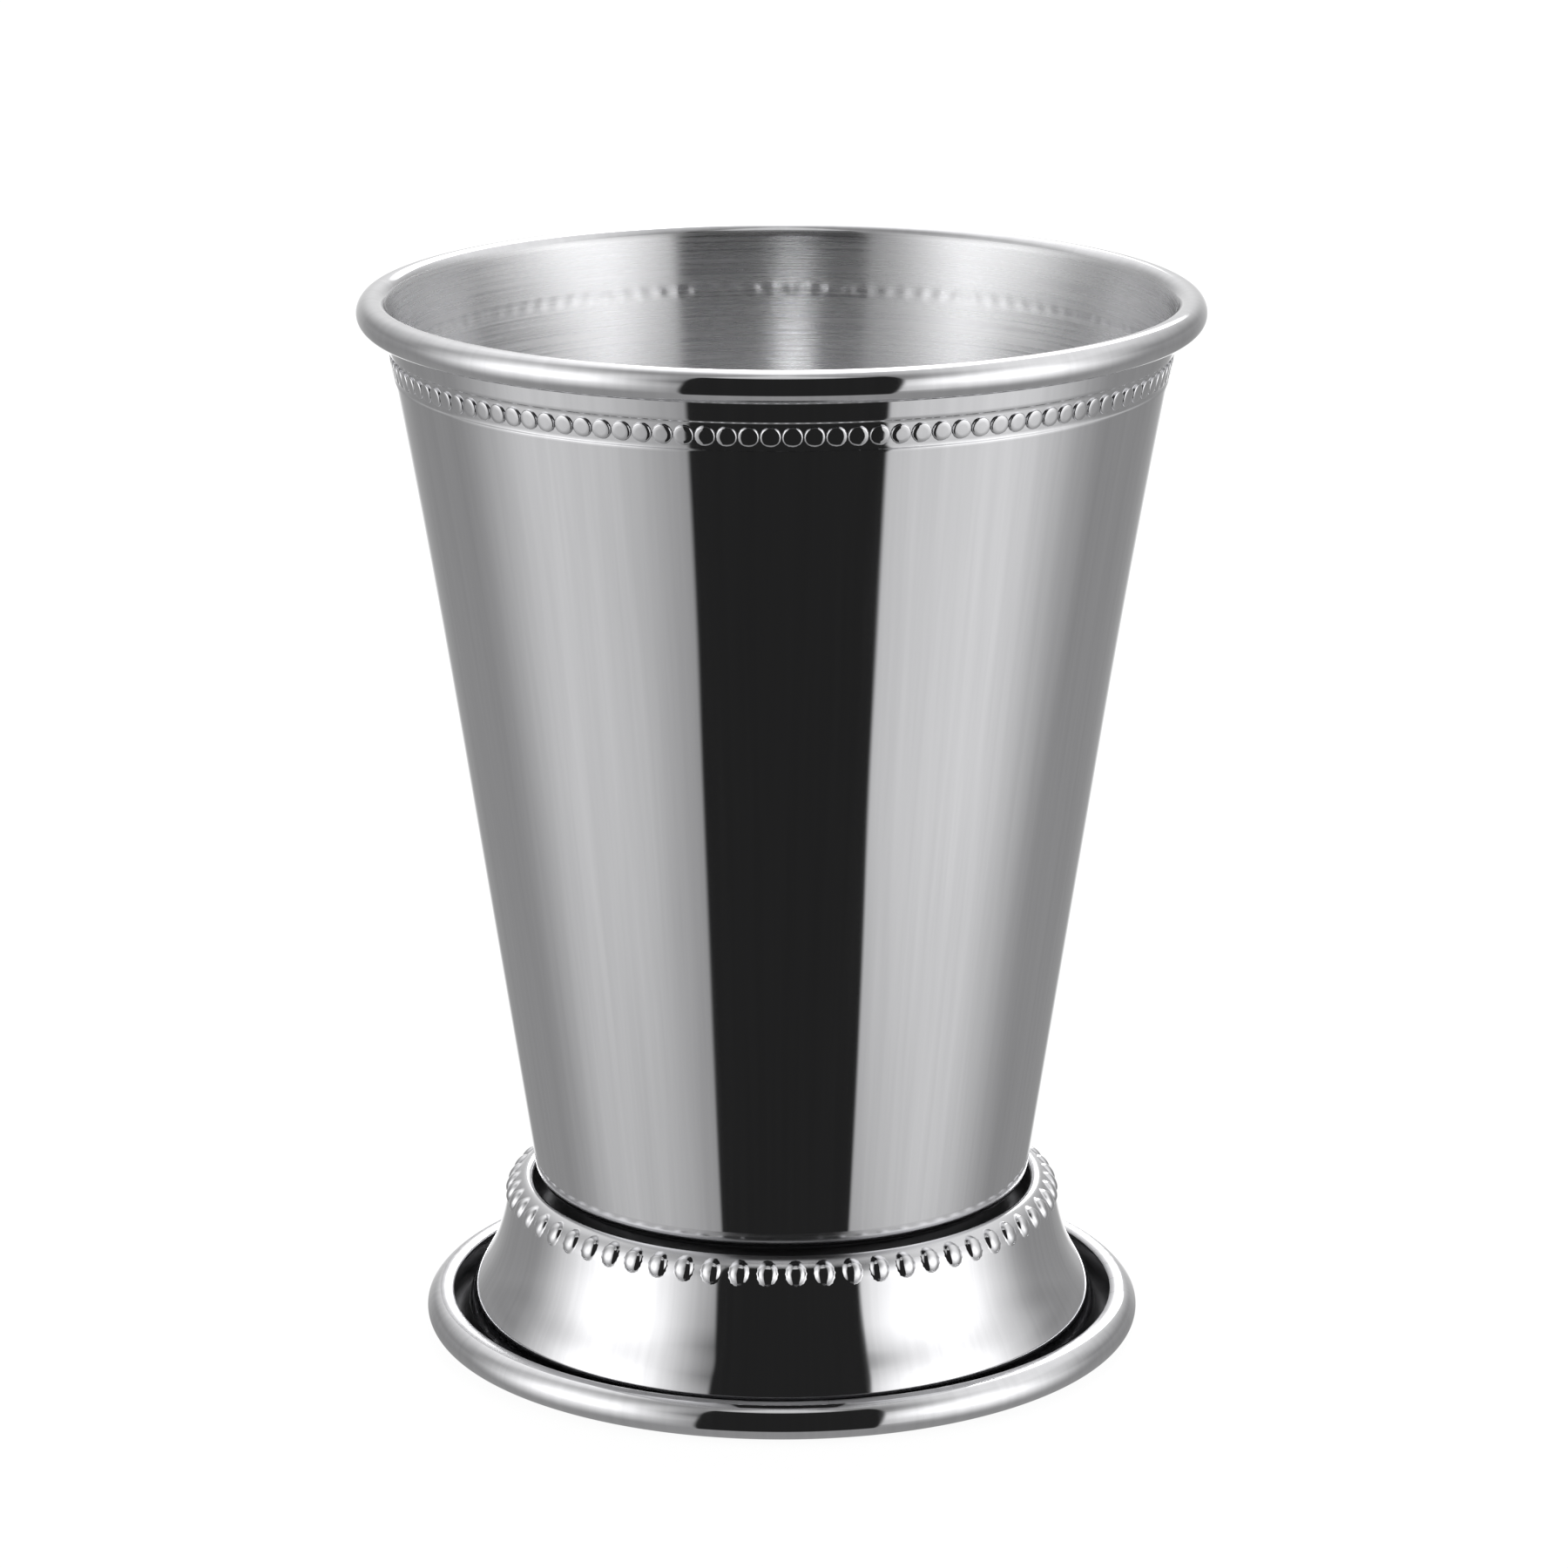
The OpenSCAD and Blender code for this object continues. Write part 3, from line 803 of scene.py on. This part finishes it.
def studio_world():
    """White for the camera, and the lit studio for everything else."""
    world = bpy.data.worlds.new("studio")
    bpy.context.scene.world = world
    world.use_nodes = True
    tree = world.node_tree
    tree.nodes.clear()
    way = add(tree, "ShaderNodeTexCoord").outputs["Generated"]
    parts = add(tree, "ShaderNodeSeparateXYZ", {0: way}).outputs
    front = add(tree, "ShaderNodeMath", {0: parts[1], 1: -1.0}, operation="MULTIPLY").outputs[0]
    turn = add(tree, "ShaderNodeMath", {0: parts[0], 1: front}, operation="ARCTAN2").outputs[0]
    azimuth = add(tree, "ShaderNodeMath", {0: turn}, operation="DEGREES").outputs[0]
    rise = add(tree, "ShaderNodeMath", {0: parts[2]}, operation="ARCSINE").outputs[0]
    elevation = add(tree, "ShaderNodeMath", {0: rise}, operation="DEGREES").outputs[0]

    share = add(tree, "ShaderNodeMapRange", {"Value": elevation, "From Min": -90.0,
                                             "From Max": 90.0}).outputs[0]
    room = add(tree, "ShaderNodeValToRGB", {0: share})
    stops = room.color_ramp.elements
    stops.remove(stops[1])
    for i, (height, level) in enumerate(ROOM):
        place = (height + 90) / 180
        stop = stops[0] if i == 0 else stops.new(place)
        stop.position = place
        stop.color = (level, level, level, 1)
    light = room.outputs[0]
    for lamp in LAMPS:
        glow = lamp_share(tree, azimuth, elevation, lamp)
        light = add(tree, "ShaderNodeMath", {0: light, 1: glow}, operation="ADD").outputs[0]

    square = add(tree, "ShaderNodeMath", {0: elevation, 1: 2.0}, operation="POWER").outputs[0]
    narrowing = add(tree, "ShaderNodeMath", {0: square, 1: -BLACK_WIDENING, 2: 1.0},
                    operation="MULTIPLY_ADD").outputs[0]
    leaning = add(tree, "ShaderNodeMath", {0: elevation, 1: -BLACK_LEAN, 2: azimuth},
                  operation="MULTIPLY_ADD").outputs[0]
    across = add(tree, "ShaderNodeMath", {0: leaning, 1: narrowing},
                 operation="MULTIPLY").outputs[0]
    cover = lamp_share(tree, across, elevation, BLACK_CARD)
    lit = add(tree, "ShaderNodeMix", {0: cover, 2: light, 3: BLACK_LEVEL}).outputs[0]
    seen = add(tree, "ShaderNodeLightPath").outputs["Is Camera Ray"]
    shown = add(tree, "ShaderNodeMix", {0: seen, 2: lit, 3: 1.0}).outputs[0]
    shine = add(tree, "ShaderNodeBackground", {"Color": shown, "Strength": 1.0}).outputs[0]
    add(tree, "ShaderNodeOutputWorld", {"Surface": shine})


def studio_floor():
    """White paper for the camera. The steel shows the studio's own, darker floor in its place.

    It is clear from below, so that the foot's underside can be looked at.
    """
    mesh = bpy.data.meshes.new("floor")
    reach = FLOOR_REACH
    mesh.from_pydata([(-reach, -reach, 0), (reach, -reach, 0), (reach, reach, 0),
                      (-reach, reach, 0)], [], [(0, 1, 2, 3)])
    floor = bpy.data.objects.new("floor", mesh)
    bpy.context.scene.collection.objects.link(floor)
    material = bpy.data.materials.new("white_paper")
    material.use_nodes = True
    tree = material.node_tree
    tree.nodes.clear()
    paper = add(tree, "ShaderNodeBsdfDiffuse", {"Color": linear("#F7F7F7")}).outputs[0]
    white = add(tree, "ShaderNodeEmission",
                {"Color": (1, 1, 1, 1), "Strength": PAPER_LIGHT}).outputs[0]
    shown = add(tree, "ShaderNodeMixShader", {0: PAPER_GLOW, 1: paper, 2: white}).outputs[0]
    clear = add(tree, "ShaderNodeBsdfTransparent").outputs[0]
    below = add(tree, "ShaderNodeNewGeometry").outputs["Backfacing"]
    sided = add(tree, "ShaderNodeMixShader", {0: below, 1: shown, 2: clear}).outputs[0]
    add(tree, "ShaderNodeOutputMaterial", {"Surface": sided})
    mesh.materials.append(material)
    floor.visible_glossy = False
    floor.visible_shadow = False


def studio_camera():
    """The camera where the photograph was taken from."""
    data = bpy.data.cameras.new("camera")
    data.lens = CAMERA_LENS
    camera = bpy.data.objects.new("camera", data)
    bpy.context.scene.collection.objects.link(camera)
    camera.location = Vector(CAMERA_AT) * MM
    camera.rotation_euler = (math.radians(90 - CAMERA_PITCH), 0, 0)
    bpy.context.scene.camera = camera


studio_world()
studio_floor()
studio_camera()
bpy.context.scene.view_settings.view_transform = "Standard"
